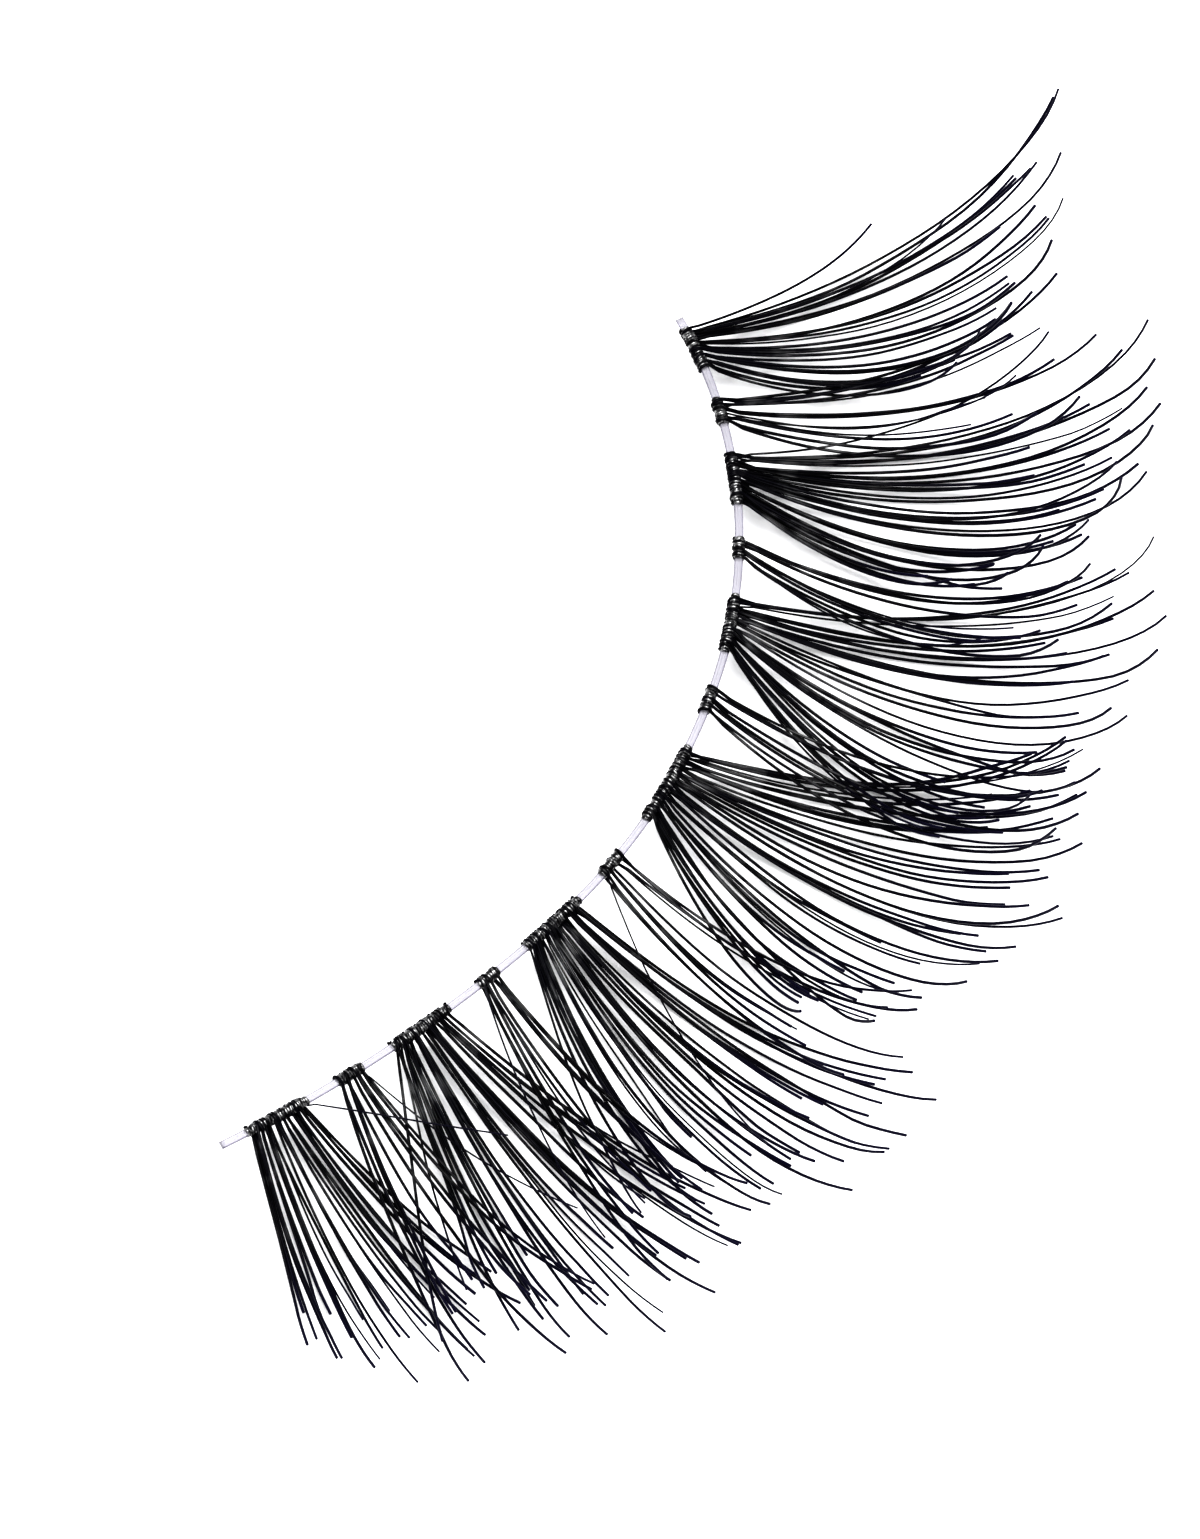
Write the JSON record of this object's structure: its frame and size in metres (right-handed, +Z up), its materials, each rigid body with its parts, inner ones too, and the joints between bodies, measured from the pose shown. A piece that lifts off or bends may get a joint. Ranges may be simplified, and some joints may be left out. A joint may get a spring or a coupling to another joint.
{
  "type": "false eyelash strip",
  "caption": "Strip of black false lashes: wound, knotted tufts that fan out and curl up from one clear, curved band, lying loose.",
  "frame": {"origin": "on the floor, under the middle of the strip's bounding box", "axes": "+X along the band's chord, towards the end whose lashes curl up most; the lashes fan out towards -Y; +Z up, the way the tips curl"},
  "size_m": [0.0454, 0.0196, 0.0057],
  "materials": {
    "clear_band": "clear, glossy",
    "lash_fibre": "black fibre, semi-gloss, glossy where it is wound"
  },
  "bodies": {
    "root": {"band": "clear_band", "tuft_large_1": "lash_fibre", "tuft_large_2": "lash_fibre", "tuft_large_3": "lash_fibre", "tuft_large_4": "lash_fibre", "tuft_large_5": "lash_fibre", "tuft_large_6": "lash_fibre", "tuft_large_7": "lash_fibre", "tuft_small_1": "lash_fibre", "tuft_small_2": "lash_fibre", "tuft_small_3": "lash_fibre", "tuft_small_4": "lash_fibre", "tuft_small_5": "lash_fibre", "tuft_small_6": "lash_fibre"}
  },
  "joints": []
}
